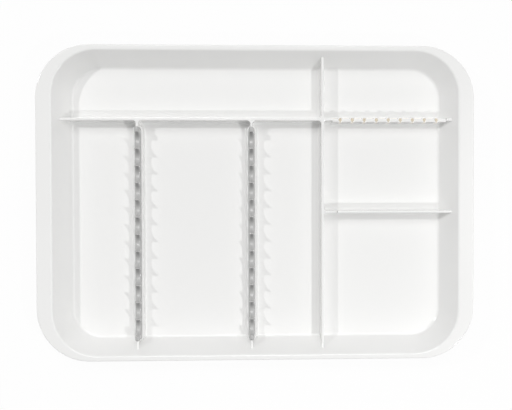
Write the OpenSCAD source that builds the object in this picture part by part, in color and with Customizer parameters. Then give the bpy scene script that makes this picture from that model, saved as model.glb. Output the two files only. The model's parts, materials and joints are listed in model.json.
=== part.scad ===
// Divided drawer tray: a shallow white pan with thin fixed dividers, a rail of small
// tool sockets, and two scalloped grey rack strips that drop into channels.
// +X runs along the tray's length, +Y towards the shallow top bay, +Z up.
// The origin is the centre of the underside.

/* [Pan] */
// Overall length of the tray over its rim
tray_l = 339.7; // [310:0.1:380]
// Overall width of the tray over its rim
tray_w = 244.5; // [225:0.1:280]
// Overall height of the tray
tray_h = 22.2; // [20:0.1:30]
// Thickness of the floor
floor_t = 2; // [1.5:0.1:3]
// Thickness of the sloping walls, square to their faces
wall_t = 2; // [1.5:0.1:3]
// How far a wall leans out from the floor to the rim
wall_run = 11.2; // [8:0.1:14]
// Corner radius of the well, measured at the rim
well_corner_r = 34.4; // [28:0.1:42]
// Fillet between the floor and the walls
floor_fillet_r = 3; // [1.5:0.1:4]
// Rounding of the outer edge under the floor
base_edge_r = 3; // [1.5:0.1:4]

/* [Rim] */
// Width of the flat rim at the two short sides
rim_side_w = 12.1; // [9:0.1:16]
// Width of the flat rim at the two long sides
rim_end_w = 4; // [3.5:0.1:8]
// Thickness of the rim
rim_t = 2; // [1.5:0.1:2.5]
// Outer corner radius of the rim
rim_corner_r = 41; // [36:0.1:48]
// Rounding where the rim turns down into the well
rim_mouth_r = 2; // [0.5:0.1:2.4]
// Height of the rim's turned-down edge
lip_h = 4; // [3:0.1:6]
// Thickness of the turned-down edge
lip_t = 1.6; // [1.2:0.1:2.2]
// Rounding along the top of the turned-down edge
lip_edge_r = 1.1; // [0.5:0.1:1.2]

/* [Dividers] */
// Height of the dividers above the floor
divider_h = 13.2; // [11:0.1:16]
// Thickness of a divider
divider_t = 1.8; // [1.4:0.1:2.6]
// Rounding of a divider's top edges
divider_edge_r = 0.6; // [0.2:0.1:0.7]
// Fillet along a divider's foot
foot_r = 2; // [1:0.1:2.3]
// Fillet where two dividers meet, seen from above
corner_r = 2.4; // [2.4:0.1:4]
// Floor width of the top bay, from its wall to the cross divider's middle
top_bay = 41.5; // [35:0.1:50]
// Floor width of the right-hand bays, from their wall to the long divider's middle
right_bay = 95.1; // [85:0.1:105]
// Spacing of the socket rail and the short divider
middle_bay = 72.8; // [60:0.1:90]
// Distance from the long divider's middle to the notch in the short divider
notch_at = 7.1; // [6:0.1:20]
// Width of the notch at the top
notch_w = 4.8; // [3:0.1:8]
// Depth of the notch
notch_d = 4; // [2:0.1:6]

/* [Socket rail] */
// Thickness of the rail's wall
rail_t = 2.6; // [2.2:0.1:3.2]
// How far the rail's top lies below the other dividers
rail_drop = 2; // [1:0.1:4]
// Full-height length left at the long divider, from its middle
rail_shoulder = 8; // [5:0.1:12]
// Full-height length left at the right-hand wall, along the top
rail_stub = 3.9; // [2:0.1:8]
// Bore of a socket
socket_d = 2.6; // [2:0.1:3]
// Wall around a socket's bore
socket_wall = 1; // [0.8:0.1:1.3]
// Plastic left between a socket's bore and the floor
socket_base = 2.2; // [1:0.1:4]
// Spacing of the sockets
socket_pitch = 9.56; // [7:0.01:12]
// Distance from the rail's low stretch to its first socket
socket_inset = 6.2; // [4:0.1:9]
// Width of a socket's slit at the bore
slit_in = 1.2; // [0.6:0.1:1.4]
// Width of a socket's slit at the front
slit_out = 0.6; // [0.4:0.1:1]

/* [Racks] */
// Floor width of the left-hand bay, from its wall to the left rack's middle
left_bay = 52.8; // [40:0.1:70]
// Spacing of the two racks
rack_spacing = 89.3; // [70:0.1:100]
// Height of a rack's channel rim above the floor
channel_h = 6.6; // [5:0.1:8]
// Depth of a rack's channel
channel_d = 4; // [2.5:0.1:4.5]
// Wall on each side of a rack's channel
channel_wall = 1.2; // [0.9:0.1:2]
// Length of the thin neck between the cross divider and the end of a strip
neck_l = 4.9; // [3:0.1:8]
// Clearance around a strip in its channel
strip_gap = 0.2; // [0.1:0.05:0.4]
// Width of a strip in its channel
strip_w = 4.7; // [4:0.1:6]
// Width of a strip along its crests
crest_w = 3.2; // [1.6:0.1:3.8]
// Height of a strip's upright sides, from its underside
strip_side_h = 5; // [3:0.1:6]
// Radius of a scallop
scallop_r = 6.1; // [4:0.05:7]
// Radius of a crest between two scallops
crest_r = 0.58; // [0.4:0.02:1]
// Height of a scallop's lowest point above the channel rim
scallop_clear = 2; // [1:0.1:4]
// Length of the full-height land at each end of a strip
land_l = 3.7; // [3:0.1:8]

/* [Hidden] */
$fn = 72;
white = "#f3f3f1";
grey = "#a2a3a4";
arc_steps = 6;
// How far a cut reaches past the face that it opens
cut = 1;
// A length that passes right through any piece
through = tray_l;
// Least radius left at the foot of a fillet between two dividers
scoop_r = 0.2;

// Wall geometry: the lean of the walls and the radii that follow from it
wall_rise = tray_h - floor_t;
lean = atan2(wall_rise, wall_run);
wall_gap = wall_t / sin(lean);
floor_corner_r = well_corner_r - wall_run;
fillet_run = floor_fillet_r * tan(lean / 2);
base_corner_r = floor_corner_r + wall_gap - floor_t / tan(lean);
well_x = tray_l / 2 - rim_side_w;
well_y = tray_w / 2 - rim_end_w;
well_cx = well_x - well_corner_r;
well_cy = well_y - well_corner_r;
floor_x = well_x - wall_run;
floor_y = well_y - wall_run;
rim_cx = tray_l / 2 - rim_corner_r;
rim_cy = tray_w / 2 - rim_corner_r;

// Where the dividers and racks stand
divider_top = floor_t + divider_h;
cross_y = floor_y - top_bay;
short_y = cross_y - middle_bay;
long_x = floor_x - right_bay;
rack_xs = [left_bay - floor_x, left_bay - floor_x + rack_spacing];
foot = min(foot_r, corner_r - scoop_r);

// The socket rail's low stretch and its row of sockets
rail_top = divider_top - rail_drop;
rail_x0 = long_x + rail_shoulder;
rail_y = cross_y - (rail_t - divider_t) / 2;
rail_x1 = floor_x + divider_h / tan(lean) - rail_stub;
socket_x0 = rail_x0 + socket_inset;
socket_or = socket_d / 2 + socket_wall;
socket_count = 1 + floor((floor_x - fillet_run - socket_or - socket_x0) / socket_pitch);

// The strips: as many scallops as fit between the cross divider and the lower wall
channel_top = floor_t + channel_h;
seat_z = channel_top - channel_d;
scallop_pitch = 2 * (scallop_r + crest_r);
scallop_z = channel_top + scallop_clear + scallop_r;
crest_z = scallop_z + crest_r;
strip_y1 = cross_y - divider_t / 2 - neck_l;
strip_y0_limit = -floor_y - (seat_z - floor_t) / tan(lean);
scallop_count = floor((strip_y1 - strip_y0_limit - 2 * land_l) / scallop_pitch);
strip_l = scallop_count * scallop_pitch + 2 * land_l;
strip_y = strip_y1 - strip_l / 2;
channel_w = strip_w + 2 * strip_gap;
channel_l = strip_l + 2 * strip_gap;
rib_w = channel_w + 2 * channel_wall;
rib_l = channel_l + 2 * channel_wall;

function polar(r, a) = r * [cos(a), sin(a)];
function arc(c, r, a0, a1) = [for (i = [0 : arc_steps]) c + polar(r, a0 + (a1 - a0) * i / arc_steps)];
function mirrored(side) = [for (i = [len(side) - 1 : -1 : 0]) [-side[i][0], side[i][1]]];
function shifted(side, d) = [for (p = side) [p[0] + d, p[1]]];

// Side outlines, each a list of [distance out, height] from the bottom up
function slope_foot(u, z, r) = arc([u - r * tan(lean / 2), z + r], r, -90, lean - 90);
function well_side() = concat(
    slope_foot(floor_corner_r, floor_t, floor_fillet_r),
    arc([well_corner_r + rim_mouth_r * tan(lean / 2), tray_h - rim_mouth_r], rim_mouth_r, 90 + lean, 90),
    [[well_corner_r + rim_mouth_r * tan(lean / 2), tray_h + cut]]
);
function shell_side() = concat(
    slope_foot(base_corner_r, 0, base_edge_r),
    [[base_corner_r + (tray_h - rim_t / 2) / tan(lean), tray_h - rim_t / 2]]
);
function rim_side() = concat(
    [[rim_corner_r, tray_h - lip_h]],
    arc([rim_corner_r - lip_edge_r, tray_h - lip_edge_r], lip_edge_r, 0, 90)
);
function straight_side(u, z0, z1) = [[u, z0], [u, z1]];
function divider_side(t, top, edge) = concat(
    arc([t / 2 + foot, floor_t + foot], foot, 270, 180),
    arc([t / 2 - edge, top - edge], edge, 0, 90)
);
function strip_side() = concat(
    [[strip_w / 2, seat_z], [strip_w / 2, seat_z + strip_side_h]],
    arc([crest_w / 2 - crest_r, crest_z - crest_r], crest_r, 0, 90)
);

// A solid with a rounded-rectangle plan whose outline follows side at every height
module rounded_block(cx, cy, side) {
    rotate([90, 0, 90])
        linear_extrude(2 * cx, center = true)
            polygon(concat(shifted(side, cy), mirrored(shifted(side, cy))));
    rotate([90, 0, 0])
        linear_extrude(2 * cy, center = true)
            polygon(concat(shifted(side, cx), mirrored(shifted(side, cx))));
    for (x = [-cx, cx], y = [-cy, cy])
        translate([x, y, 0]) turned(side);
}

// A bar along Y with round ends whose outline follows side at every height
module round_bar(l, w, side) {
    reach = l / 2 - w / 2;
    rotate([90, 0, 0])
        linear_extrude(2 * reach, center = true)
            polygon(concat(side, mirrored(side)));
    for (y = [-reach, reach])
        translate([0, y, 0]) turned(side);
}

module turned(side) {
    rotate_extrude()
        polygon(concat([[0, side[0][1]]], side, [[0, side[len(side) - 1][1]]]));
}

module well() {
    rounded_block(well_cx, well_cy, well_side());
}

// A divider along +X from the origin
module wall_x(l, t, top) {
    side = divider_side(t, top, divider_edge_r);
    rotate([90, 0, 90])
        linear_extrude(l)
            polygon(concat(side, mirrored(side)));
}

// The fillet in the corner between two dividers, in the quadrant that quarter names
module inner_corner(quarter) {
    side = divider_side(divider_t, divider_top, divider_edge_r);
    reach = divider_t / 2 + corner_r;
    scoop = [for (p = side) [reach - p[0], p[1]]];
    below = [scoop[0][0], floor_t - cut];
    above = [scoop[len(scoop) - 1][0], divider_top + cut];
    rotate([0, 0, 90 * quarter])
        difference() {
            translate([0, 0, floor_t]) cube([reach, reach, divider_h]);
            translate([reach, reach, 0]) turned(concat([below], scoop, [above]));
        }
}

module tray_pan() {
    color(white)
        difference() {
            union() {
                rounded_block(well_cx, well_cy, shell_side());
                difference() {
                    rounded_block(rim_cx, rim_cy, rim_side());
                    rounded_block(rim_cx, rim_cy,
                        straight_side(rim_corner_r - lip_t, tray_h - lip_h - cut, tray_h - rim_t));
                }
            }
            well();
        }
}

module long_divider() {
    color(white)
        intersection() {
            translate([long_x, -tray_w / 2, 0]) rotate([0, 0, 90]) wall_x(tray_w, divider_t, divider_top);
            well();
        }
}

module cross_divider() {
    color(white)
        difference() {
            intersection() {
                union() {
                    translate([-tray_l / 2, cross_y, 0]) wall_x(tray_l / 2 + long_x, divider_t, divider_top);
                    for (quarter = [1, 2])
                        translate([long_x, cross_y, 0]) inner_corner(quarter);
                }
                well();
            }
            long_divider();
        }
}

module short_divider() {
    notch_x = long_x + notch_at;
    color(white)
        difference() {
            intersection() {
                union() {
                    translate([long_x, short_y, 0]) wall_x(tray_l / 2 - long_x, divider_t, divider_top);
                    for (quarter = [0, 3])
                        translate([long_x, short_y, 0]) inner_corner(quarter);
                }
                well();
            }
            long_divider();
            translate([notch_x, short_y, divider_top])
                rotate([90, 0, 0])
                    linear_extrude(through, center = true)
                        polygon([[0, cut], [0, 0], [notch_w, -notch_d], [notch_w, cut]]);
        }
}

// The rail is made in stretches, with a socket standing between each two
module socket_rail() {
    color(white)
        difference() {
            intersection() {
                union() {
                    translate([long_x, cross_y, 0]) wall_x(tray_l / 2 - long_x, divider_t, divider_top);
                    for (quarter = [0, 3])
                        translate([long_x, cross_y, 0]) inner_corner(quarter);
                    translate([rail_x0, rail_y, 0]) wall_x(rail_x1 - rail_x0, rail_t, rail_top);
                }
                well();
            }
            long_divider();
            translate([rail_x0, rail_y - through / 2, rail_top])
                cube([rail_x1 - rail_x0, through, divider_h]);
            at_sockets()
                translate([-socket_or, -through / 2, 0]) cube([2 * socket_or, through, divider_top + cut]);
        }
}

module at_sockets() {
    for (i = [0 : socket_count - 1])
        translate([socket_x0 + i * socket_pitch, cross_y, 0]) children();
}

// Short stretches of the rail, each with a round post that is bored from the top
module tool_sockets() {
    color(white)
        at_sockets()
            difference() {
                union() {
                    translate([-socket_or, rail_y - cross_y, 0]) wall_x(2 * socket_or, rail_t, rail_top);
                    translate([0, 0, floor_t]) cylinder(h = rail_top - floor_t, r = socket_or);
                }
                translate([0, 0, floor_t + socket_base]) socket_bore();
            }
}

// A bore with a slit that opens to the front
module socket_bore() {
    depth = rail_top - floor_t - socket_base + cut;
    cylinder(h = depth, d = socket_d);
    linear_extrude(depth)
        polygon([
            [-slit_in / 2, 0], [-slit_out / 2, -socket_or - cut],
            [slit_out / 2, -socket_or - cut], [slit_in / 2, 0]
        ]);
}

module rack_rib(x) {
    color(white)
        difference() {
            intersection() {
                union() {
                    translate([x, -tray_w / 2, 0])
                        rotate([0, 0, 90]) wall_x(tray_w / 2 + cross_y, divider_t, divider_top);
                    for (quarter = [2, 3])
                        translate([x, cross_y, 0]) inner_corner(quarter);
                    translate([x, strip_y, 0])
                        round_bar(rib_l, rib_w, divider_side(rib_w, channel_top, divider_edge_r));
                }
                well();
            }
            cross_divider();
            translate([x, strip_y, 0])
                round_bar(channel_l, channel_w, straight_side(channel_w / 2, seat_z, divider_top + cut));
        }
}

module rack_rib_left() {
    rack_rib(rack_xs[0]);
}

module rack_rib_right() {
    rack_rib(rack_xs[1]);
}

// A strip that narrows towards its crests, with upright round ends
module rack_strip(x) {
    color(grey)
        translate([x, strip_y, 0])
            intersection() {
                rotate([90, 0, 0])
                    linear_extrude(strip_l, center = true)
                        polygon(concat(strip_side(), mirrored(strip_side())));
                round_bar(strip_l, strip_w, straight_side(strip_w / 2, seat_z, crest_z));
                scalloped_blank();
            }
}

// The strip's outline from the side, cut wider than the strip
module scalloped_blank() {
    blank_w = 2 * strip_w;
    difference() {
        translate([-blank_w / 2, -strip_l / 2, seat_z]) cube([blank_w, strip_l, scallop_z - seat_z]);
        for (i = [0 : scallop_count - 1])
            translate([0, (i + 0.5) * scallop_pitch - strip_l / 2 + land_l, scallop_z])
                rotate([0, 90, 0]) cylinder(h = through, r = scallop_r, center = true);
    }
    for (i = [1 : scallop_count - 1])
        translate([0, i * scallop_pitch - strip_l / 2 + land_l, scallop_z])
            rotate([0, 90, 0]) cylinder(h = blank_w, r = crest_r, center = true);
    for (end = [0, 1])
        mirror([0, end, 0])
            translate([-blank_w / 2, strip_l / 2 - land_l, scallop_z])
                end_land(blank_w);
}

// The flat land past the last scallop, level with the crests and rounded like them
module end_land(w) {
    translate([0, -crest_r, -crest_r]) cube([w, land_l + crest_r, crest_r]);
    rotate([0, 90, 0]) cylinder(h = w, r = crest_r);
    cube([w, land_l, crest_r]);
}

module rack_strip_left() {
    rack_strip(rack_xs[0]);
}

module rack_strip_right() {
    rack_strip(rack_xs[1]);
}

tray_pan();
long_divider();
cross_divider();
short_divider();
socket_rail();
tool_sockets();
rack_rib_left();
rack_rib_right();
rack_strip_left();
rack_strip_right();
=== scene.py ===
"""Looks of a divided drawer tray: a glossy white moulding with two grey rack strips.

Lengths are in millimetres, and a mesh is turned into metres when it is made. Places come from the
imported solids, and every piece stands where the solid that it replaces stands.
"""
import json
import logging
import math
from collections.abc import Callable, Sequence
from dataclasses import dataclass, replace
from enum import Enum

import bmesh
import bpy
from mathutils import Matrix, Vector


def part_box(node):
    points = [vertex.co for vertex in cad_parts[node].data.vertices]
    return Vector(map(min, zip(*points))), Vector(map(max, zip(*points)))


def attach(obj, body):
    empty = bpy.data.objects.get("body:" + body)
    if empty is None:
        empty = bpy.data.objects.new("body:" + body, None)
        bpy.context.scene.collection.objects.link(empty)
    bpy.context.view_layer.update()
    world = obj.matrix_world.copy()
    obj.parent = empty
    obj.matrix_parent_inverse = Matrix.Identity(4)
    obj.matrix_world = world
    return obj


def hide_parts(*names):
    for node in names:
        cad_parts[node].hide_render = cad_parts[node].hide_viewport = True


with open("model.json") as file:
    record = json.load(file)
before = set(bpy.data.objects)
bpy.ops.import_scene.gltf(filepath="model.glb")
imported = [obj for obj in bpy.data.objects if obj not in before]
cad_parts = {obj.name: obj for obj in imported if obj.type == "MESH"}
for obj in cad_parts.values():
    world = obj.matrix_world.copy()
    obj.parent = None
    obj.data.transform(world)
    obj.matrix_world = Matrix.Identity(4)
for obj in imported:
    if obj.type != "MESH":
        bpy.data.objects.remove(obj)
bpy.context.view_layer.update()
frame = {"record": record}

MM = 0.001
VERTEX_DIGITS = 4  # corners that agree to this many decimals of a millimetre are one vertex
SIDES = (1.0, -1.0)
ORIGIN = Vector((0.0, 0.0, 0.0))
log = logging.getLogger("divided_tray")

Point = tuple[float, float]
EndRule = Callable[[float, float], float]


def solid_box(node: str) -> list[Vector]:
    """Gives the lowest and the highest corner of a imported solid, in millimetres."""
    return [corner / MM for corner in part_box(node)]


def linked(name: str, data: bpy.types.ID) -> bpy.types.Object:
    """Makes an object in the scene.

    Args:
        name: The object's name.
        data: Its mesh, lamp or camera.

    Returns:
        The object, at the origin.
    """
    made = bpy.data.objects.new(name, data)
    bpy.context.scene.collection.objects.link(made)
    return made


# Outlines: smooth stretches of points, travelled with the outside on the right hand


@dataclass(frozen=True)
class Stretch:
    """A smooth stretch of an outline.

    Attributes:
        points: Places along the stretch, each (out, up).
        outward: The direction that the surface faces at each place.
    """

    points: tuple[Point, ...]
    outward: tuple[Point, ...]


def line(start: Point, end: Point) -> Stretch:
    """Makes a straight stretch.

    Args:
        start: Where it begins.
        end: Where it ends.

    Returns:
        The stretch, facing to the right of its travel.
    """
    run = Vector(end) - Vector(start)
    facing = (run.normalized().y, -run.normalized().x)
    return Stretch((start, end), (facing, facing))


def arc(centre: Point, radius: float, first: float, last: float, steps: int) -> Stretch:
    """Makes a round stretch.

    Args:
        centre: Middle of the circle.
        radius: Radius of the circle.
        first: Angle at which it begins, in degrees.
        last: Angle at which it ends; a falling angle makes a hollow round.
        steps: Number of chords.

    Returns:
        The stretch, facing to the right of its travel.
    """
    side = math.copysign(1.0, last - first)
    turns = [math.radians(first + (last - first) * i / steps) for i in range(steps + 1)]
    points = tuple((centre[0] + radius * math.cos(t), centre[1] + radius * math.sin(t)) for t in turns)
    return Stretch(points, tuple((side * math.cos(t), side * math.sin(t)) for t in turns))


# Meshes


class MeshMaker:
    """Collects the faces of one closed piece, in millimetres, with the way that each corner faces."""

    def __init__(self) -> None:
        """Starts with no faces."""
        self._places: list[Vector] = []
        self._index: dict[tuple[float, ...], int] = {}
        self._faces: list[dict[int, Vector | None]] = []

    def _vertex(self, place: Vector) -> int:
        """Gives the number of the vertex at a place, a new one if there is none.

        Args:
            place: The place, in millimetres.

        Returns:
            The vertex's number.
        """
        key = tuple(round(value, VERTEX_DIGITS) for value in place)
        if key not in self._index:
            self._index[key] = len(self._places)
            self._places.append(place.copy())
        return self._index[key]

    def shell(self) -> None:
        """Starts another closed shell, which shares no vertex with those before it."""
        self._index = {}

    def face(self, corners: Sequence[Vector], outward: Sequence[Vector] | None = None) -> None:
        """Adds a face, unless its corners fall together.

        Args:
            corners: The corners in order round the face.
            outward: The direction that the surface faces at each corner, or None for a flat face.
        """
        found: dict[int, Vector | None] = {}
        for i, corner in enumerate(corners):
            found.setdefault(self._vertex(corner), outward[i] if outward else None)
        if len(found) > 2:
            self._faces.append(found)

    def piece(self, name: str) -> bpy.types.Object:
        """Makes the object.

        Args:
            name: The piece's name.

        Returns:
            A linked object at the origin, with its faces turned outwards.
        """
        solid = bmesh.new()
        vertices = [solid.verts.new(place * MM) for place in self._places]
        for corners in self._faces:
            solid.faces.new([vertices[i] for i in corners])
        bmesh.ops.recalc_face_normals(solid, faces=solid.faces[:])
        mesh = bpy.data.meshes.new(name)
        solid.to_mesh(mesh)
        solid.free()
        mesh.shade_smooth()
        facing = []
        for polygon in mesh.polygons:
            given = self._faces[polygon.index]
            facing += [given[v] or polygon.normal for v in polygon.vertices]
        mesh.normals_split_custom_set([tuple(Vector(n).normalized()) for n in facing])
        return linked(name, mesh)


class Axis(Enum):
    """The direction in which a wall runs."""

    X = "x"
    Y = "y"

    def place(self, along: float, across: float, up: float) -> Vector:
        """Gives a point, or a direction, from its parts along and across the wall.

        Args:
            along: Part along the wall.
            across: Part square to the wall.
            up: Height.

        Returns:
            The point in the tray's own axes.
        """
        return Vector((along, across, up)) if self is Axis.X else Vector((across, along, up))


@dataclass(frozen=True)
class Ring:
    """One level of a loft whose plan is a rectangle with round corners.

    Attributes:
        corner_x: Distance of the corners' centres from the middle, along X.
        corner_y: The same along Y.
        radius: Corner radius at this level.
        height: Height of this level.
    """

    corner_x: float
    corner_y: float
    radius: float
    height: float

    def places(self, steps: int) -> list[tuple[Vector, Point]]:
        """Walks round the level.

        Args:
            steps: Chords in each corner.

        Returns:
            Each place with the way that the plan faces there.
        """
        found = []
        for quarter, (sx, sy) in enumerate(((1, 1), (-1, 1), (-1, -1), (1, -1))):
            for i in range(steps + 1):
                turn = math.radians(90 * quarter + 90 * i / steps)
                facing = (math.cos(turn), math.sin(turn))
                x = sx * self.corner_x + self.radius * facing[0]
                y = sy * self.corner_y + self.radius * facing[1]
                found.append((Vector((x, y, self.height)), facing))
        return found


Run = tuple[Sequence[Ring], Sequence[Point]]


def rounds(stretches: Sequence[Stretch], reach: float = 0.0) -> list[Run]:
    """Turns an outline into the levels of a loft with round ends.

    Args:
        stretches: Stretches of (radius, height).
        reach: Distance of the round ends' centres from the middle, along Y.

    Returns:
        A run of levels for each stretch.
    """
    runs: list[Run] = []
    for stretch in stretches:
        runs.append(([Ring(0.0, reach, *point) for point in stretch.points], stretch.outward))
    return runs


def loft(maker: MeshMaker, runs: Sequence[Run], steps: int, middle: Vector) -> None:
    """Lays faces over levels that follow each other, and closes the first and the last.

    Args:
        maker: Takes the faces.
        runs: Smooth runs of levels, each with the way that its outline faces.
        steps: Chords in each corner.
        middle: Where the middle of the plan is.
    """
    for rings, outward in runs:
        walks = [ring.places(steps) for ring in rings]
        for low, high, facing_low, facing_high in zip(walks, walks[1:], outward, outward[1:]):
            for k in range(len(low)):
                corners, facing = [], []
                for walk, (out, up), i in ((low, facing_low, k), (low, facing_low, k + 1),
                                           (high, facing_high, k + 1), (high, facing_high, k)):
                    place, plan = walk[i % len(low)]
                    corners.append(place + middle)
                    facing.append(Vector((plan[0] * out, plan[1] * out, up)))
                maker.face(corners, facing)
    for ring in (runs[0][0][0], runs[-1][0][-1]):
        maker.face([place + middle for place, _ in ring.places(steps)])


# The white moulding


@dataclass(frozen=True)
class Moulding:
    """Sizes that the parts of the white moulding share.

    Attributes:
        floor: Thickness of the floor.
        wall: Thickness of the sloping walls.
        wall_run: How far a wall runs outwards between the floor and the rim.
        well_corner: Corner radius of the well at the rim.
        floor_fillet: Radius of the hollow between floor and wall.
        base_edge: Radius of the edge under the floor.
        rim_side: Width of the rim on the left and the right.
        rim_end: Width of the rim at the front and the back.
        rim: Thickness of the rim.
        rim_corner: Corner radius of the rim.
        rim_mouth: Radius of the rim's inner edge.
        lip: Thickness of the rim's turned-down edge.
        lip_drop: How far below the rim's top that edge ends.
        lip_edge: Radius over which it turns down.
        lip_foot_edge: Radius of its foot.
        divider: Thickness of the dividers.
        divider_edge: Radius of their top edges.
        foot: Radius of the hollows along their feet.
        corner: Radius of the hollows where two of them meet.
        draft: Length of the slope at a step in a divider's height.
        sink: How far a piece reaches into the one that carries it.
        hair: How far a fillet's top lies below the dividers' tops.
    """

    floor: float = 2.0
    wall: float = 2.0
    wall_run: float = 11.2
    well_corner: float = 34.4
    floor_fillet: float = 3.0
    base_edge: float = 3.0
    rim_side: float = 12.1
    rim_end: float = 4.0
    rim: float = 2.0
    rim_corner: float = 41.0
    rim_mouth: float = 2.0
    lip: float = 1.6
    lip_drop: float = 4.0
    lip_edge: float = 1.1
    lip_foot_edge: float = 0.4
    divider: float = 1.8
    divider_edge: float = 0.6
    foot: float = 2.0
    corner: float = 2.4
    draft: float = 0.15
    sink: float = 0.05
    hair: float = 0.01

    @property
    def reach(self) -> float:
        """How far a fillet between two dividers reaches from their middles."""
        return self.divider / 2 + self.corner


class Tray:
    """Places and slopes of the tray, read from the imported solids."""

    def __init__(self, sizes: Moulding) -> None:
        """Reads the solids.

        Args:
            sizes: The moulding's sizes.
        """
        self.sizes = sizes
        self.half_length, self.half_width, self.height = solid_box("tray_pan")[1]
        self.well_x = self.half_length - sizes.rim_side
        self.well_y = self.half_width - sizes.rim_end
        self.lean = math.atan2(self.height - sizes.floor, sizes.wall_run)
        self.floor_x = self.well_x - sizes.wall_run
        self.floor_y = self.well_y - sizes.wall_run
        self.long_x = self.middle("long_divider").x
        self.cross_y = self.middle("cross_divider").y
        self.short_y = self.middle("short_divider").y
        self.divider_top = self.top("long_divider")
        self.rail_top = self.top("tool_sockets")

    @staticmethod
    def middle(node: str) -> Vector:
        """Gives the middle of a solid's box."""
        low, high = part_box(node)
        return (low + high) / (2 * MM)

    @staticmethod
    def top(node: str) -> float:
        """Gives the highest point of a solid."""
        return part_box(node)[1].z / MM

    def wall_at(self, height: float) -> float:
        """Gives how far the wall stands out from the floor's edge.

        Args:
            height: Height above the tray's underside.

        Returns:
            The distance, below zero in the fillet at the wall's foot.
        """
        fillet = self.sizes.floor_fillet
        rise = max(height - self.sizes.floor, 0.0)
        if rise > fillet * (1 - math.cos(self.lean)):
            return rise / math.tan(self.lean)
        return math.sqrt(fillet**2 - (fillet - rise) ** 2) - fillet * math.tan(self.lean / 2)

    def divider_half(self, height: float) -> float:
        """Gives half a divider's thickness at a height, its foot and its top edge included.

        Args:
            height: Height above the tray's underside.

        Returns:
            The distance from the divider's middle to its face.
        """
        sizes = self.sizes
        rise = max(height - sizes.floor, 0.0)
        drop = max(self.divider_top - height, 0.0)
        half = sizes.divider / 2
        if rise < sizes.foot:
            return half + sizes.foot - math.sqrt(sizes.foot**2 - (sizes.foot - rise) ** 2)
        if drop < sizes.divider_edge:
            edge = sizes.divider_edge
            return half - edge + math.sqrt(edge**2 - (edge - drop) ** 2)
        return half

    def meets(self, middle: float, side: float) -> EndRule:
        """Gives the rule for an end that meets a divider.

        Args:
            middle: Place of the divider's middle.
            side: The side that it is met from, 1 or -1.

        Returns:
            The rule.
        """
        return lambda across, up: middle + side * (self.divider_half(up) - self.sizes.sink)

    def in_wall(self, axis: Axis, side: float) -> EndRule:
        """Gives the rule for an end in one of the tray's walls.

        Args:
            axis: The direction of the divider.
            side: The end, 1 or -1.

        Returns:
            The rule.
        """
        edge = self.floor_x if axis is Axis.X else self.floor_y
        return lambda across, up: side * (edge + self.wall_at(up) + self.sizes.sink)

    def before_right_wall(self, place: float) -> EndRule:
        """Gives the rule for a place along X that gives way to the right wall's slope.

        Args:
            place: The place above the slope.

        Returns:
            The rule.
        """
        wall = self.in_wall(Axis.X, 1)
        return lambda across, up: min(place, wall(across, up))


@dataclass
class Pan:
    """The floor, the sloping walls and the rim with its turned-down edge.

    Attributes:
        tray: The tray's places.
        corner_steps: Chords in each corner of the plan.
        round_steps: Chords in each round of the section.
    """

    tray: Tray
    corner_steps: int = 40
    round_steps: int = 8

    def outline(self) -> list[tuple[bool, Stretch]]:
        """Draws the pan's section from the middle of the underside, over the rim, to the floor.

        Returns:
            Stretches of (corner radius, height), each with True where it belongs to the rim.
        """
        tray, sizes = self.tray, self.tray.sizes
        lean, slope = tray.lean, math.degrees(tray.lean)
        steps = self.round_steps
        floor_r = sizes.well_corner - sizes.wall_run
        base_r = floor_r + sizes.wall / math.sin(lean) - sizes.floor / math.tan(lean)
        underside = tray.height - sizes.rim
        lip_foot = tray.height - sizes.lip_drop
        lip_inner = sizes.rim_corner - sizes.lip
        small = sizes.lip_foot_edge
        base = arc((base_r - sizes.base_edge * math.tan(lean / 2), sizes.base_edge), sizes.base_edge,
                   -90, slope - 90, steps)
        outer_top = (base_r + underside / math.tan(lean), underside)
        mouth_u = sizes.well_corner + sizes.rim_mouth * math.tan(lean / 2)
        edge = arc((sizes.rim_corner - sizes.lip_edge, tray.height - sizes.lip_edge), sizes.lip_edge,
                   0, 90, steps)
        mouth = arc((mouth_u, tray.height - sizes.rim_mouth), sizes.rim_mouth, 90, 90 + slope, steps)
        fillet = arc((floor_r - sizes.floor_fillet * math.tan(lean / 2), sizes.floor + sizes.floor_fillet),
                     sizes.floor_fillet, slope - 90, -90, steps)
        foot_in = arc((lip_inner + small, lip_foot + small), small, 180, 270, steps // 2)
        foot_out = arc((sizes.rim_corner - small, lip_foot + small), small, 270, 360, steps // 2)
        return [
            (False, base),
            (False, line(base.points[-1], outer_top)),
            (True, line((lip_inner, underside), foot_in.points[0])),
            (True, foot_in),
            (True, line(foot_in.points[-1], foot_out.points[0])),
            (True, foot_out),
            (True, line(foot_out.points[-1], edge.points[0])),
            (True, edge),
            (False, mouth),
            (False, line(mouth.points[-1], fillet.points[0])),
            (False, fillet),
        ]

    def build(self) -> bpy.types.Object:
        """Makes the pan.

        Returns:
            The finished piece.
        """
        tray, sizes = self.tray, self.tray.sizes
        well = (tray.well_x - sizes.well_corner, tray.well_y - sizes.well_corner)
        rim = (tray.half_length - sizes.rim_corner, tray.half_width - sizes.rim_corner)
        runs: list[Run] = []
        for on_rim, stretch in self.outline():
            corner = rim if on_rim else well
            rings = [Ring(*corner, radius, height) for radius, height in stretch.points]
            if runs and runs[-1][0][-1] != rings[0]:
                up = 1.0 if rings[0].height > tray.height - sizes.rim / 2 else -1.0
                runs.append(([runs[-1][0][-1], rings[0]], ((0.0, up), (0.0, up))))
            runs.append((rings, stretch.outward))
        maker = MeshMaker()
        loft(maker, runs, self.corner_steps, ORIGIN)
        made = maker.piece("pan")
        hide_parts("tray_pan")
        return made


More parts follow.
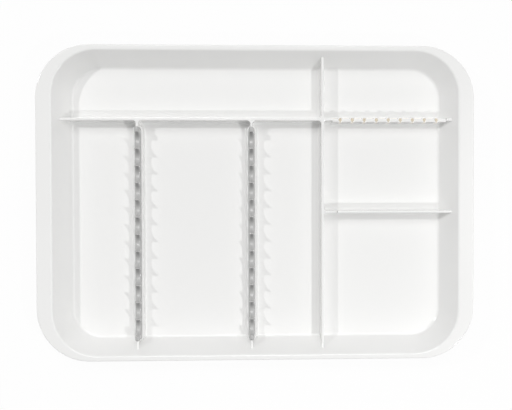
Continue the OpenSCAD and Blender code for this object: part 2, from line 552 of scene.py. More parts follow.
@dataclass(frozen=True)
class WallSection:
    """The section of a divider, from the tray's floor up.

    Attributes:
        thickness: Thickness of the wall.
        top: Height of its top.
        middle: Place of its middle across its length.
    """

    thickness: float
    top: float
    middle: float

    def half(self, sizes: Moulding, steps: int = 6) -> list[Stretch]:
        """Draws one side of the section.

        Args:
            sizes: The moulding's sizes.
            steps: Chords in each round.

        Returns:
            Stretches of (distance from the middle, height), from the foot to the middle of the top.
        """
        half, edge, foot = self.thickness / 2, sizes.divider_edge, sizes.foot
        toe = arc((half + foot, sizes.floor + foot), foot, 270, 180, steps)
        edge_arc = arc((half - edge, self.top - edge), edge, 0, 90, steps)
        sunk = (half + foot, sizes.floor - sizes.sink)
        return [
            line(sunk, toe.points[0]),
            toe,
            line(toe.points[-1], edge_arc.points[0]),
            edge_arc,
            line(edge_arc.points[-1], (0.0, self.top)),
        ]


@dataclass(frozen=True)
class Station:
    """A place along a wall, with the wall's section there.

    Attributes:
        section: The wall's section.
        at: Gives the place along the wall from a point's distance across and its height.
    """

    section: WallSection
    at: EndRule

    def place(self, axis: Axis, side: float, point: Point) -> Vector:
        """Gives a point of the section, set in its place.

        Args:
            axis: The direction of the wall.
            side: The side of the wall, 1 or -1.
            point: Distance from the wall's middle, and height.

        Returns:
            The point in the tray's own axes.
        """
        across, up = point
        return axis.place(self.at(across, up), self.section.middle + side * across, up)


def fixed(place: float) -> EndRule:
    """Gives the rule for a place along a wall that is the same at every height."""
    return lambda across, up: place


def sweep(maker: MeshMaker, axis: Axis, stations: Sequence[Station], sizes: Moulding) -> None:
    """Lays a wall through its stations and closes both ends.

    Args:
        maker: Takes the faces.
        axis: The direction of the wall.
        stations: The stations in order.
        sizes: The moulding's sizes.
    """
    for side in SIDES:
        walks = []
        for station in stations:
            walk = []
            for stretch in station.section.half(sizes):
                places = [station.place(axis, side, point) for point in stretch.points]
                facing = [axis.place(0.0, side * out, up) for out, up in stretch.outward]
                walk.append(list(zip(places, facing)))
            walks.append(walk)
        for one, two, station, following in zip(walks, walks[1:], stations, stations[1:]):
            stepped = station.section != following.section
            for run_one, run_two in zip(one, two):
                for corners in zip(run_one, run_two, run_two[1:], run_one[1:]):
                    places, facing = zip(*corners)
                    maker.face(places, None if stepped else facing)
    for station in (stations[0], stations[-1]):
        points = [point for stretch in station.section.half(sizes) for point in stretch.points]
        crown = points.pop()
        for low, high in zip(points, points[1:]):
            around = [(1.0, low), (-1.0, low), (-1.0, high), (1.0, high)]
            if low != high == points[-1]:
                around.insert(3, (1.0, crown))
            maker.face([station.place(axis, side, point) for side, point in around])
    for one, two in zip(stations, stations[1:]):
        under = []
        for station, side in ((one, 1.0), (one, -1.0), (two, -1.0), (two, 1.0)):
            under.append(station.place(axis, side, station.section.half(sizes)[0].points[0]))
        maker.face(under)


def corner_fillet(maker: MeshMaker, tray: Tray, crossing: Point, side: Point, steps: int = 8) -> None:
    """Adds the fillet between two dividers that meet.

    Args:
        maker: Takes the faces.
        tray: The tray's places.
        crossing: Place of the crossing, along X and Y.
        side: Side of the crossing along X and Y, each 1 or -1.
        steps: Chords in the hollow round.
    """
    sizes, reach = tray.sizes, tray.sizes.reach
    (x, y), (sx, sy) = crossing, side
    levels = WallSection(sizes.divider, tray.divider_top - sizes.hair, 0.0).half(sizes)[:-1]
    turns = [math.radians(180 + 90 * i / steps) for i in range(steps + 1)]

    def level(out: float, up: float) -> list[Vector]:
        """Walks along the hollow round at one height, then back through the crossing.

        Args:
            out: Distance of the dividers' faces from their middles.
            up: The height.

        Returns:
            The places in order.
        """
        radius = reach - out
        hollow = [(reach + radius * math.cos(t), reach + radius * math.sin(t)) for t in turns]
        around = hollow + [(reach, 0.0), (0.0, 0.0), (0.0, reach)]
        return [Vector((x + sx * u, y + sy * v, up)) for u, v in around]

    def facing(out: float, up: float) -> list[Vector]:
        """Gives the way that the hollow round faces at each of its places."""
        return [Vector((-sx * out * math.cos(t), -sy * out * math.sin(t), up)) for t in turns]

    maker.shell()
    for stretch in levels:
        walks = [(level(*point), facing(*way)) for point, way in zip(stretch.points, stretch.outward)]
        for (low, face_low), (high, face_high) in zip(walks, walks[1:]):
            for i in range(len(low)):
                j = (i + 1) % len(low)
                outward = (face_low[i], face_low[j], face_high[j], face_high[i]) if i < steps else None
                maker.face((low[i], low[j], high[j], high[i]), outward)
    maker.face(level(*levels[0].points[0]))
    maker.face(level(*levels[-1].points[-1]))


@dataclass
class Dividers:
    """The long, cross and short dividers.

    Attributes:
        tray: The tray's places.
        notch_at: Where the short divider's notch begins, from the long divider's middle.
        notch_width: Width of the notch.
        notch_depth: Depth of the notch.
    """

    tray: Tray
    notch_at: float = 7.1
    notch_width: float = 4.8
    notch_depth: float = 4.0

    def long_divider(self) -> bpy.types.Object:
        """Makes the divider that runs from the front wall to the back wall.

        Returns:
            The finished piece.
        """
        tray, maker = self.tray, MeshMaker()
        section = WallSection(tray.sizes.divider, tray.divider_top, tray.long_x)
        ends = [Station(section, tray.in_wall(Axis.Y, side)) for side in (-1, 1)]
        sweep(maker, Axis.Y, ends, tray.sizes)
        made = maker.piece("divider_long")
        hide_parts("long_divider")
        return made

    def cross_divider(self) -> bpy.types.Object:
        """Makes the divider from the left wall to the long divider.

        Returns:
            The finished piece.
        """
        tray, maker = self.tray, MeshMaker()
        section = WallSection(tray.sizes.divider, tray.divider_top, tray.cross_y)
        ends = [Station(section, rule) for rule in (tray.in_wall(Axis.X, -1), tray.meets(tray.long_x, -1))]
        sweep(maker, Axis.X, ends, tray.sizes)
        for side in SIDES:
            corner_fillet(maker, tray, (tray.long_x, tray.cross_y), (-1.0, side))
        made = maker.piece("divider_cross")
        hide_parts("cross_divider")
        return made

    def short_divider(self) -> bpy.types.Object:
        """Makes the divider from the long divider to the right wall, with the notch in its top.

        Returns:
            The finished piece.
        """
        tray, maker = self.tray, MeshMaker()
        full = WallSection(tray.sizes.divider, tray.divider_top, tray.short_y)
        low = WallSection(tray.sizes.divider, tray.divider_top - self.notch_depth, tray.short_y)
        start = tray.long_x + self.notch_at
        end = start + self.notch_width
        stations = (
            Station(full, tray.meets(tray.long_x, 1)),
            Station(full, fixed(start)),
            Station(low, fixed(end)),
            Station(full, fixed(end + tray.sizes.draft)),
            Station(full, tray.in_wall(Axis.X, 1)),
        )
        sweep(maker, Axis.X, stations, tray.sizes)
        for side in SIDES:
            corner_fillet(maker, tray, (tray.long_x, tray.short_y), (1.0, side))
        made = maker.piece("divider_short")
        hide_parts("short_divider")
        return made

    def build(self) -> list[bpy.types.Object]:
        """Makes all three dividers."""
        return [self.long_divider(), self.cross_divider(), self.short_divider()]


@dataclass
class SocketRail:
    """The low rail in line with the cross divider, with its row of slit sockets.

    Attributes:
        tray: The tray's places.
        thickness: Thickness of the rail.
        shoulder: Where the rail's low stretch begins, from the long divider's middle.
        stub: Length of the high stretch at the right wall, along its top.
        post_wall: Thickness of the wall round a hole.
        round_edge: Radius of the posts' edges and of the holes' flared mouths.
        slit_in: Width of a slit at the hole.
        slit_out: Width of a slit at the post's outside.
        slit_start: Where a slit begins, as a share of the hole's radius.
        over: How far a cutter stands out of what it cuts.
        glow_share: Share of the wall round a hole within which faces take the bores' finish with its painted
            glow.
        turned_steps: Chords in a quarter of a post or hole.
        edge_steps: Chords in a rounded edge.
    """

    tray: Tray
    thickness: float = 2.6
    shoulder: float = 8.0
    stub: float = 3.9
    post_wall: float = 1.0
    round_edge: float = 0.35
    slit_in: float = 1.2
    slit_out: float = 0.6
    slit_start: float = 0.7
    over: float = 1.0
    glow_share: float = 0.85
    turned_steps: int = 8
    edge_steps: int = 5

    def __post_init__(self) -> None:
        """Works out the rail's sections and where its stretches begin and end."""
        tray, sizes = self.tray, self.tray.sizes
        back = (self.thickness - sizes.divider) / 2
        self.full = WallSection(sizes.divider, tray.divider_top, tray.cross_y)
        self.low = WallSection(self.thickness, tray.rail_top, tray.cross_y - back)
        self.start = tray.long_x + self.shoulder
        self.end = tray.floor_x + tray.wall_at(tray.divider_top) - self.stub
        self.drilled = (self.start + sizes.draft, tray.floor_x + tray.wall_at(sizes.floor))

    def rail(self) -> bpy.types.Object:
        """Makes the stretch of the rail that takes the sockets.

        Returns:
            The stretch, not yet drilled.
        """
        maker = MeshMaker()
        sweep(maker, Axis.X, [Station(self.low, fixed(x)) for x in self.drilled], self.tray.sizes)
        return maker.piece("rail_with_sockets")

    def ends(self) -> bpy.types.Object:
        """Makes the shoulder at the long divider, with its fillets, and the stub at the right wall.

        Returns:
            The finished piece.
        """
        tray, sizes, maker = self.tray, self.tray.sizes, MeshMaker()
        shoulder = (
            Station(self.full, tray.meets(tray.long_x, 1)),
            Station(self.full, fixed(self.start)),
            Station(self.low, fixed(self.drilled[0])),
        )
        stub = (
            Station(self.low, fixed(self.drilled[1])),
            Station(self.low, tray.before_right_wall(self.end - sizes.draft)),
            Station(self.full, tray.before_right_wall(self.end)),
            Station(self.full, tray.in_wall(Axis.X, 1)),
        )
        for stations in (shoulder, stub):
            maker.shell()
            sweep(maker, Axis.X, stations, sizes)
        for side in SIDES:
            corner_fillet(maker, tray, (tray.long_x, tray.cross_y), (1.0, side))
        return maker.piece("rail_ends")

    def _turned(self, name: str, stretches: Sequence[Stretch]) -> bpy.types.Object:
        """Makes a turned body that stands on the origin.

        Args:
            name: The body's name.
            stretches: Its outline, as stretches of (radius, height).

        Returns:
            The body.
        """
        maker = MeshMaker()
        loft(maker, rounds(stretches), self.turned_steps, ORIGIN)
        return maker.piece(name)

    def post(self, bore: float) -> bpy.types.Object:
        """Makes one post.

        Args:
            bore: Radius of the hole.

        Returns:
            The post, without its hole.
        """
        radius, edge, top = bore + self.post_wall, self.round_edge, self.tray.rail_top
        cap = arc((radius - edge, top - edge), edge, 0, 90, self.edge_steps)
        foot = self.tray.sizes.floor - self.tray.sizes.sink
        return self._turned("post", [line((radius, foot), cap.points[0]), cap])

    def bore(self, bore: float, foot: float) -> bpy.types.Object:
        """Makes the cutter for one hole, flared at its mouth.

        Args:
            bore: Radius of the hole.
            foot: Height of the hole's bottom.

        Returns:
            The cutter.
        """
        edge, top = self.round_edge, self.tray.rail_top
        flare = arc((bore + edge, top - edge), edge, 180, 90, self.edge_steps)
        stretches = [line((bore, foot), flare.points[0]), flare,
                     line(flare.points[-1], (bore + edge, top + self.over))]
        return self._turned("bore", stretches)

    def slit(self, bore: float, foot: float) -> bpy.types.Object:
        """Makes the cutter for one slit, which narrows outwards.

        Args:
            bore: Radius of the hole.
            foot: Height of the slit's bottom.

        Returns:
            The cutter.
        """
        maker = MeshMaker()
        near, far = -self.slit_start * bore, -(bore + self.post_wall + self.over)
        wide, narrow = self.slit_in / 2, self.slit_out / 2
        plan = ((-wide, near), (wide, near), (narrow, far), (-narrow, far))
        low = [Vector((x, y, foot)) for x, y in plan]
        high = [Vector((x, y, self.tray.rail_top + self.over)) for x, y in plan]
        maker.face(low)
        maker.face(high)
        for i in range(len(plan)):
            j = (i + 1) % len(plan)
            maker.face((low[i], low[j], high[j], high[i]))
        return maker.piece("slit")

    def build(self, material: bpy.types.Material, bore_glow: bpy.types.Material) -> list[bpy.types.Object]:
        """Makes the rail with its sockets.

        Args:
            material: The finish of the moulding.
            bore_glow: The finish inside the sockets, whose warm colour and glow are painted light.

        Returns:
            The finished pieces.
        """
        mounts = [m for m in frame["record"]["mounts"] if m["name"].startswith("socket_")]
        places = [Vector(m["pos_m"]) for m in mounts]
        bore, deep = mounts[0]["dims"]["r_mm"], mounts[0]["dims"]["length_mm"]
        foot = places[0].z / MM - deep / 2
        rail = self.rail()
        tools = [self.post(bore), self.bore(bore, foot), self.slit(bore, foot)]
        first = Vector((places[0].x, places[0].y, 0.0))
        values = {"Post": tools[0], "Bore": tools[1], "Slit": tools[2], "Count": len(places), "First": first,
                  "Step": places[1] - places[0], "Material": material, "Lining": bore_glow,
                  "Lining Radius": (bore + self.glow_share * self.post_wall) * MM,
                  "Lining Top": (self.tray.rail_top - self.round_edge) * MM}
        bake(rail, socket_row_tree(), values)
        for tool in tools:
            bpy.data.objects.remove(tool)
        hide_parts("socket_rail", "tool_sockets")
        return [rail, self.ends()]


class Nodes:
    """Adds and joins the nodes of one tree."""

    def __init__(self, tree: bpy.types.NodeTree) -> None:
        """Takes the tree.

        Args:
            tree: An empty tree.
        """
        self.tree = tree

    def add(self, kind: str, inputs: dict[str | int, object] | None = None,
            **settings: object) -> bpy.types.Node:
        """Adds a node.

        Args:
            kind: The node's type.
            inputs: For each input, by name or place, a value or the output that feeds it.
            settings: The node's own properties.

        Returns:
            The node.
        """
        node = self.tree.nodes.new(kind)
        for name, value in settings.items():
            setattr(node, name, value)
        for key, value in (inputs or {}).items():
            if isinstance(value, bpy.types.NodeSocket):
                self.tree.links.new(value, node.inputs[key])
            else:
                node.inputs[key].default_value = value
        return node

    def feed(self, node: bpy.types.Node, key: str | int, *outputs: bpy.types.NodeSocket) -> None:
        """Joins outputs to an input.

        Args:
            node: The node that takes them.
            key: The input's name or place.
            outputs: What feeds it.
        """
        for output in outputs:
            self.tree.links.new(output, node.inputs[key])

    def math(self, operation: str, *values: object) -> bpy.types.NodeSocket:
        """Adds a sum on numbers and gives its output."""
        return self.add("ShaderNodeMath", dict(enumerate(values)), operation=operation).outputs[0]

    def vector(self, operation: str, *values: object) -> bpy.types.NodeSocket:
        """Adds a sum on vectors and gives its output."""
        return self.add("ShaderNodeVectorMath", dict(enumerate(values)), operation=operation).outputs[0]

    def parts(self, vector: bpy.types.NodeSocket) -> bpy.types.NodeOutputs:
        """Splits a vector and gives the outputs X, Y and Z."""
        return self.add("ShaderNodeSeparateXYZ", {0: vector}).outputs

    def ramp(self, value: bpy.types.NodeSocket, start: Sequence[object], end: Sequence[object],
             **settings: object) -> bpy.types.NodeSocket:
        """Adds a ramp.

        Args:
            value: What goes in.
            start: Where the ramp starts, and what it gives there.
            end: Where the ramp ends, and what it gives there.
            settings: The node's own properties.

        Returns:
            The output.
        """
        ends = {"From Min": start[0], "To Min": start[1], "From Max": end[0], "To Max": end[1]}
        return self.add("ShaderNodeMapRange", {"Value": value, **ends}, **settings).outputs[0]

    def row(self, given: bpy.types.NodeOutputs) -> bpy.types.NodeSocket:
        """Adds a row of points.

        Args:
            given: The tree's inputs, with Count, First and Step among them.

        Returns:
            The row.
        """
        inputs = {"Count": given["Count"], "Start Location": given["First"], "Offset": given["Step"]}
        return self.add("GeometryNodeMeshLine", inputs).outputs["Mesh"]

    def copies(self, row: bpy.types.NodeSocket, shape: bpy.types.NodeSocket) -> bpy.types.NodeSocket:
        """Sets an object on each point of a row.

        Args:
            row: The points.
            shape: The object.

        Returns:
            The copies, as instances.
        """
        instance = self.add("GeometryNodeObjectInfo", {"Object": shape}).outputs["Geometry"]
        placed = self.add("GeometryNodeInstanceOnPoints", {"Points": row, "Instance": instance})
        return placed.outputs["Instances"]


def fresh_nodes(owner: bpy.types.Material | bpy.types.World) -> Nodes:
    """Turns on the nodes of a material or a world, and clears them.

    Args:
        owner: The material or world.

    Returns:
        Its empty tree.
    """
    owner.use_nodes = True
    owner.node_tree.nodes.clear()
    return Nodes(owner.node_tree)


def new_tree(name: str, inputs: dict[str, str], outputs: dict[str, str],
             kind: str = "GeometryNodeTree") -> Nodes:
    """Makes an empty node group.

    Args:
        name: The group's name.
        inputs: Socket type of each input, by name.
        outputs: Socket type of each output, by name.
        kind: Type of the tree.

    Returns:
        The tree.
    """
    tree = bpy.data.node_groups.new(name, kind)
    for direction, sockets in (("INPUT", inputs), ("OUTPUT", outputs)):
        for label, socket in sockets.items():
            tree.interface.new_socket(label, in_out=direction, socket_type=socket)
    return Nodes(tree)


GEOMETRY = {"Geometry": "NodeSocketGeometry"}
ROW = {"Count": "NodeSocketInt", "First": "NodeSocketVector", "Step": "NodeSocketVector"}
SHADE_MASK = "steep"  # the strips' attribute: how squarely a hollow's side faces the front, where shade is painted


def bake(piece: bpy.types.Object, tree: bpy.types.NodeTree, values: dict[str, object],
         crease: float = 32.0) -> None:
    """Runs a geometry tree on a piece and keeps the result as a plain mesh.

    Args:
        piece: The piece whose mesh goes in, and which takes the new mesh.
        tree: The tree.
        values: Value of each input, by name.
        crease: Edges that turn by more than this angle, in degrees, stay sharp.
    """
    modifier = piece.modifiers.new(tree.name, "NODES")
    modifier.node_group = tree
    for item in tree.interface.items_tree:
        if item.item_type == "SOCKET" and item.in_out == "INPUT" and item.name in values:
            modifier[item.identifier] = values[item.name]
    for weigh in (False, True):
        if weigh:
            piece.modifiers.new("weights", "WEIGHTED_NORMAL").keep_sharp = True
        bpy.context.view_layer.update()
        seen = piece.evaluated_get(bpy.context.evaluated_depsgraph_get())
        mesh = bpy.data.meshes.new_from_object(seen)
        piece.modifiers.clear()
        piece.data = mesh
        if not weigh:
            mesh.shade_smooth()
            mesh.set_sharp_from_angle(angle=math.radians(crease))


def socket_row_tree() -> bpy.types.NodeTree:
    """Makes the tree that sets posts along a rail and cuts a hole and a slit in each.

    Faces near a post's axis and below its flared mouth take the bores' finish, whose warm colour and glow
    are painted light.

    Returns:
        The tree.
    """
    objects = {name: "NodeSocketObject" for name in ("Post", "Bore", "Slit")}
    finishes = {"Material": "NodeSocketMaterial", "Lining": "NodeSocketMaterial",
                "Lining Radius": "NodeSocketFloat", "Lining Top": "NodeSocketFloat"}
    nodes = new_tree("socket_row", GEOMETRY | objects | ROW | finishes, GEOMETRY)
    given = nodes.add("NodeGroupInput").outputs
    row = nodes.row(given)
    solids = {}
    for name in objects:
        copies = nodes.copies(row, given[name])
        solids[name] = nodes.add("GeometryNodeRealizeInstances", {"Geometry": copies}).outputs[0]
    joined = nodes.add("GeometryNodeMeshBoolean", operation="UNION", solver="EXACT")
    nodes.feed(joined, 1, given["Geometry"], solids["Post"])
    drilled = nodes.add("GeometryNodeMeshBoolean", {0: joined.outputs[0]}, operation="DIFFERENCE",
                        solver="EXACT")
    nodes.feed(drilled, 1, solids["Bore"], solids["Slit"])
    plain = nodes.add("GeometryNodeRealizeInstances", {"Geometry": drilled.outputs[0]})
    place = nodes.add("GeometryNodeInputPosition").outputs[0]
    plan = nodes.vector("MULTIPLY", place, (1.0, 1.0, 0.0))
    axis = nodes.add("GeometryNodeProximity", {0: row}, target_element="POINTS")
    nodes.tree.links.new(plan, next(i for i in axis.inputs if i.type == "VECTOR"))
    near = nodes.math("LESS_THAN", axis.outputs["Distance"], given["Lining Radius"])
    low = nodes.math("LESS_THAN", nodes.parts(place)["Z"], given["Lining Top"])
    white = nodes.add("GeometryNodeSetMaterial", {"Geometry": plain.outputs[0],
                                                  "Material": given["Material"]})
    finished = nodes.add("GeometryNodeSetMaterial", {
        "Geometry": white.outputs[0], "Selection": nodes.math("MULTIPLY", near, low),
        "Material": given["Lining"]})
    nodes.add("NodeGroupOutput", {"Geometry": finished.outputs[0]})
    return nodes.tree


class Side(Enum):
    """The two racks, with the nodes and the body of each."""

    LEFT = "left"
    RIGHT = "right"

    @property
    def rib(self) -> str:
        """Name of the solid that holds the strip."""
        return f"rack_rib_{self.value}"

    @property
    def strip(self) -> str:
        """Name of the strip's solid."""
        return f"rack_strip_{self.value}"

    @property
    def body(self) -> str:
        """Name of the body that the strip rides."""
        return f"{self.value}_strip"


@dataclass
class RackRib:
    """The channel that holds a strip, and the necks that tie it to the walls.

    Attributes:
        tray: The tray's places.
        side: Which rack it is.
        gap: Gap between the strip and the channel.
        channel_wall: Thickness of the channel's wall.
        channel_top: Height of the channel's top.
        outer_edge: Radius of the channel's outer top edge.
        inner_edge: Radius of its inner top edge.
        hollow_share: Share of the channel's half width over which its round end hollows a neck.
        corner_steps: Chords in a quarter of a round end.
        round_steps: Chords in the foot's hollow and the outer edge.
        inner_steps: Chords in the inner edge.
    """

    tray: Tray
    side: Side
    gap: float = 0.06
    channel_wall: float = 1.34
    channel_top: float = 8.6
    outer_edge: float = 0.3
    inner_edge: float = 0.05
    hollow_share: float = 0.98
    corner_steps: int = 10
    round_steps: int = 6
    inner_steps: int = 3

    def build(self) -> bpy.types.Object:
        """Makes the channel with its necks.

        Returns:
            The finished piece.
        """
        tray, sizes, maker = self.tray, self.tray.sizes, MeshMaker()
        low, high = solid_box(self.side.strip)
        middle = (low + high) / 2
        inner = (high.x - low.x) / 2 + self.gap
        outer = inner + self.channel_wall
        reach = (high.y - low.y) / 2 + self.gap - inner
        toe = arc((outer + sizes.foot, sizes.floor + sizes.foot), sizes.foot, 270, 180, self.round_steps)
        over = arc((outer - self.outer_edge, self.channel_top - self.outer_edge), self.outer_edge,
                   0, 90, self.round_steps)
        into = arc((inner + self.inner_edge, self.channel_top - self.inner_edge), self.inner_edge,
                   90, 180, self.inner_steps)
        stretches = [
            line((outer + sizes.foot, sizes.floor - sizes.sink), toe.points[0]),
            toe,
            line(toe.points[-1], over.points[0]),
            over,
            line(over.points[-1], into.points[0]),
            into,
            line(into.points[-1], (inner, low.z)),
        ]
        loft(maker, rounds(stretches, reach), self.corner_steps, Vector((middle.x, middle.y, 0.0)))
        section = WallSection(sizes.divider, tray.divider_top, middle.x)
        necks = (
            (Station(section, self._channel_end(middle.y, reach, inner, 1.0)),
             Station(section, tray.meets(tray.cross_y, -1))),
            (Station(section, tray.in_wall(Axis.Y, -1)),
             Station(section, self._channel_end(middle.y, reach, inner, -1.0))),
        )
        for stations in necks:
            maker.shell()
            sweep(maker, Axis.Y, stations, sizes)
        for side in SIDES:
            corner_fillet(maker, tray, (middle.x, tray.cross_y), (side, -1.0))
        made = maker.piece(f"rib_{self.side.value}")
        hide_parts(self.side.rib)
        return made

    def _channel_end(self, middle: float, reach: float, inner: float, end: float) -> EndRule:
        """Gives the rule for a neck's end, hollowed by the channel's round end.

        Args:
            middle: Place of the channel's middle, along Y.
            reach: Distance from there to the centre of a round end.
            inner: Half the channel's width inside.
            end: The end, 1 or -1.

        Returns:
            The rule.
        """
        def rule(across: float, up: float) -> float:
            """Gives the place along the neck."""
            inside = min(across, inner * self.hollow_share)
            return middle + end * (reach + math.sqrt(inner**2 - inside**2) + self.tray.sizes.sink)
        return rule


@dataclass
class RackStrip:
    """A grey strip with a row of scallops.

    Attributes:
        side: Which rack it is.
        foot_height: Height of the strip's upright foot.
        crest_width: Width of the crests.
        scallop: Radius of the scallops.
        crest: Radius of the crests, along the strip.
        land: Length of the strip past the last scallop.
        edge: How far the rounded edge falls back from the scallops' outline.
        crown: Width of the rounded edge, across the strip.
        dome: How much lower it falls besides.
        waist_gap: Least height of the sides between the foot and the rounded edge.
        shade_share: The crests' width over the reach of the painted-shade mark from the middle of a crest.
        count: Number of scallops.
        crest_steps: Chords in half a crest.
        scallop_steps: Chords in a scallop.
    """

    side: Side
    foot_height: float = 5.0
    crest_width: float = 3.2
    scallop: float = 6.1
    crest: float = 0.58
    land: float = 3.7
    edge: float = 0.4
    crown: float = 1.4
    dome: float = 0.9
    waist_gap: float = 0.1
    shade_share: float = 3.0
    count: int = 12
    crest_steps: int = 6
    scallop_steps: int = 36

    def __post_init__(self) -> None:
        """Reads the strip's solid."""
        low, high = solid_box(self.side.strip)
        self.middle = (low + high) / 2
        self.seat, self.top = low.z, high.z
        self.half = (high.x - low.x) / 2
        self.pitch = (high.y - low.y - 2 * self.land) / self.count
        self.hinge = self.top - self.crest

    def half_width(self, height: float) -> float:
        """Gives half the strip's width at a height, before its edge is rounded.

        Args:
            height: Height above the tray's underside.

        Returns:
            The distance from the strip's middle to its side.
        """
        waist = self.seat + self.foot_height
        share = min(max((height - waist) / (self.hinge - waist), 0.0), 1.0)
        return self.half + share * (self.crest_width / 2 - self.half)

    def section(self, point: Point, outward: Point, steps: int = 5) -> list[tuple[float, float, float]]:
        """Draws half the section at one place of the scalloped outline.

        Args:
            point: Place on the outline, (along, up).
            outward: The way that the outline faces there.
            steps: Chords of the rounded edge.

        Returns:
            Points (across, along, up) from the foot to the middle of the top.
        """
        rounded = []
        for i in range(steps + 1):
            turn = math.radians(90 - 90 * i / steps)
            fall = 1 - math.cos(turn)
            along = point[0] - outward[0] * self.edge * fall
            up = point[1] - (outward[1] * self.edge + self.dome) * fall
            rounded.append((self.half_width(up) - self.crown + self.crown * math.sin(turn), along, up))
        along = rounded[0][1]
        waist = min(self.seat + self.foot_height, rounded[0][2] - self.waist_gap)
        return [(self.half, along, self.seat), (self.half, along, waist), *rounded, (0.0, *point)]

    def unit(self) -> bpy.types.Object:
        """Makes one scallop, from crest to crest, open at both ends.

        Returns:
            The scallop, with its middle at the origin.
        """
        maker = MeshMaker()
        stretches = [
            arc((self.pitch / 2, self.hinge), self.crest, 90, 180, self.crest_steps),
            arc((0.0, self.hinge), self.scallop, 360, 180, self.scallop_steps),
            arc((-self.pitch / 2, self.hinge), self.crest, 0, 90, self.crest_steps),
        ]
        places = [pair for stretch in stretches for pair in zip(stretch.points, stretch.outward)]
        sections = [self.section(*pair) for pair in places]
        for one, two in zip(sections, sections[1:]):
            for side in SIDES:
                for corners in zip(one, two, two[1:], one[1:]):
                    maker.face([Vector((side * x, y, z)) for x, y, z in corners])
            (x, y, z), (_, y_next, _) = one[0], two[0]
            maker.face([Vector(c) for c in ((x, y, z), (-x, y, z), (-x, y_next, z), (x, y_next, z))])
        return maker.piece("scallop")

    def cap(self, steps: int = 16) -> bpy.types.Object:
        """Makes the land past the last scallop, with its upright round end, open towards the scallop.

        Args:
            steps: Chords of the round end.

        Returns:
            The land, which begins at the origin and runs along +Y.
        """
        maker = MeshMaker()
        *sides, (_, _, crown) = self.section((0.0, self.top), (0.0, 1.0))
        levels, centre = [], self.land - self.half
        for x, _, z in sides:
            radius = self.half - (self.half_width(z) - x)
            corner = math.acos(min(x / radius, 1.0))
            level = [Vector((x, 0.0, z))]
            for i in range(steps + 1):
                turn = corner + (math.pi - 2 * corner) * i / steps
                level.append(Vector((radius * math.cos(turn), centre + radius * math.sin(turn), z)))
            levels.append([*level, Vector((-x, 0.0, z))])
        for low, high in zip(levels, levels[1:]):
            for corners in zip(low, low[1:], high[1:], high):
                maker.face(corners)
        maker.face(levels[0])
        maker.face([*levels[-1], Vector((0.0, 0.0, crown))])
        return maker.piece("land")

    def build(self, material: bpy.types.Material) -> bpy.types.Object:
        """Makes the strip.

        Args:
            material: The strip's finish.

        Returns:
            The finished piece.
        """
        made = MeshMaker().piece(f"strip_{self.side.value}")
        tools = [self.unit(), self.cap()]
        values = {"Scallop": tools[0], "Land": tools[1], "Count": self.count, "Material": material,
                  "First": Vector((0.0, -self.pitch * (self.count - 1) / 2, 0.0)) * MM,
                  "Step": Vector((0.0, self.pitch, 0.0)) * MM,
                  "Reach": Vector((0.0, self.pitch * self.count / 2, 0.0)) * MM,
                  "Place": Vector((self.middle.x, self.middle.y, 0.0)) * MM,
                  "Valley": (self.hinge - self.scallop) * MM, "Crest": self.top * MM,
                  "Wide": self.half * MM, "Narrow": self.crest_width / self.shade_share * MM}
        bake(made, scalloped_tree(), values)
        for tool in tools:
            bpy.data.objects.remove(tool)
        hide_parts(self.side.strip)
        return made


def scalloped_tree(core: float = 0.3, merge: float = 0.005) -> bpy.types.NodeTree:
    """Makes the tree that repeats a scallop and closes the row with a land at each end.

    It also marks how squarely a hollow's side faces the front, which is where the finish paints shade. The
    mark width that runs from Wide at a valley to Narrow at a crest.

    Args:
        core: Share of that width within which the mark doesn't fade.
        merge: Distance within which corners are joined, in millimetres.

    Returns:
        The tree.
    """
    inputs = GEOMETRY | {"Scallop": "NodeSocketObject", "Land": "NodeSocketObject"} | ROW
    inputs |= {name: "NodeSocketVector" for name in ("Reach", "Place")}
    inputs |= {name: "NodeSocketFloat" for name in ("Valley", "Crest", "Wide", "Narrow")}
    nodes = new_tree("scalloped_strip", inputs | {"Material": "NodeSocketMaterial"}, GEOMETRY)
    given = nodes.add("NodeGroupInput").outputs
    land = nodes.add("GeometryNodeObjectInfo", {"Object": given["Land"]}).outputs["Geometry"]
    far = nodes.add("GeometryNodeTransform", {"Geometry": land, "Translation": given["Reach"]}).outputs[0]
    near = nodes.add("GeometryNodeTransform", {"Geometry": far, "Rotation": (0.0, 0.0, math.pi)}).outputs[0]
    whole = nodes.add("GeometryNodeJoinGeometry")
    nodes.feed(whole, 0, nodes.copies(nodes.row(given), given["Scallop"]), far, near)
    plain = nodes.add("GeometryNodeRealizeInstances", {"Geometry": whole.outputs[0]}).outputs[0]
    merged = nodes.add("GeometryNodeMergeByDistance", {"Geometry": plain, "Distance": merge * MM}).outputs[0]
    placed = nodes.add("GeometryNodeTransform", {"Geometry": merged, "Translation": given["Place"]})
    front = nodes.math("SUBTRACT", 0.0, nodes.parts(nodes.add("GeometryNodeInputNormal").outputs[0])["Y"])
    position = nodes.add("GeometryNodeInputPosition").outputs[0]
    local = nodes.parts(nodes.vector("SUBTRACT", position, given["Place"]))
    width = nodes.ramp(local["Z"], (given["Valley"], given["Wide"]), (given["Crest"], given["Narrow"]))
    share = nodes.math("DIVIDE", nodes.math("ABSOLUTE", local["X"]), width)
    oval = nodes.ramp(share, (core, 1.0), (1.0, 0.0), interpolation_type="SMOOTHSTEP")
    # The stored mark tells the finish where to paint shade
    marked = nodes.add("GeometryNodeStoreNamedAttribute", {
        "Geometry": placed.outputs[0], "Name": SHADE_MASK, "Value": nodes.math("MULTIPLY", front, oval)})
    finished = nodes.add("GeometryNodeSetMaterial", {"Geometry": marked.outputs[0],
                                                     "Material": given["Material"]})
    nodes.add("NodeGroupOutput", {"Geometry": finished.outputs[0]})
    return nodes.tree


# Finishes


